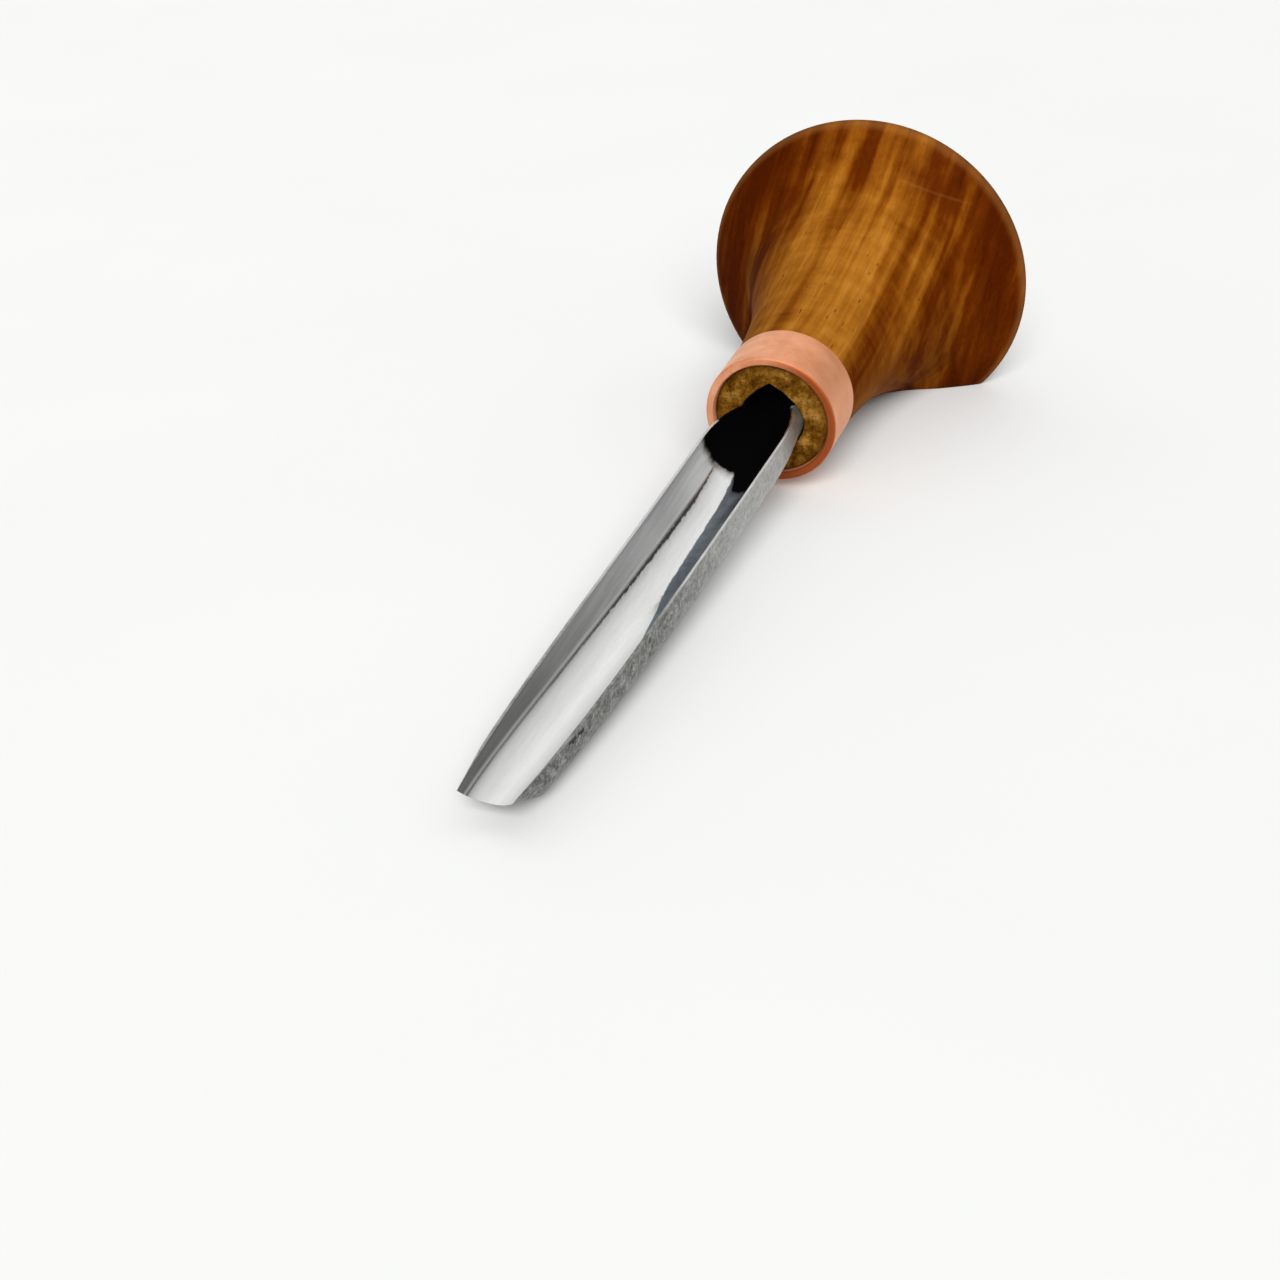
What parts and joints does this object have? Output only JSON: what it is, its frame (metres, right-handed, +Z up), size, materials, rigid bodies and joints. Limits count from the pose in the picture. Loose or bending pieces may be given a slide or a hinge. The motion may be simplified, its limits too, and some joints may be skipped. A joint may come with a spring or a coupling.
{
  "type": "lino cutter",
  "caption": "Palm-handled lino and wood gouge: turned wooden knob handle with a flat underside, copper ferrule and a forged U-channel steel blade.",
  "frame": {"origin": "on the flat of the handle's knob, under the centre of the knob's rim, in the plane that the tool rests on", "axes": "+X along the tool from the cutting edge towards the knob, +Z up from the surface it rests on, +Y to the left when looking along +X"},
  "size_m": [0.1257, 0.04, 0.0332],
  "materials": {
    "handle_wood": "satin",
    "copper": "satin",
    "blade_steel": "polished channel, satin outside",
    "resin": "matte"
  },
  "bodies": {
    "root": {"handle": "handle_wood", "ferrule": "copper", "blade": "blade_steel", "tang_resin": "resin"}
  },
  "joints": []
}
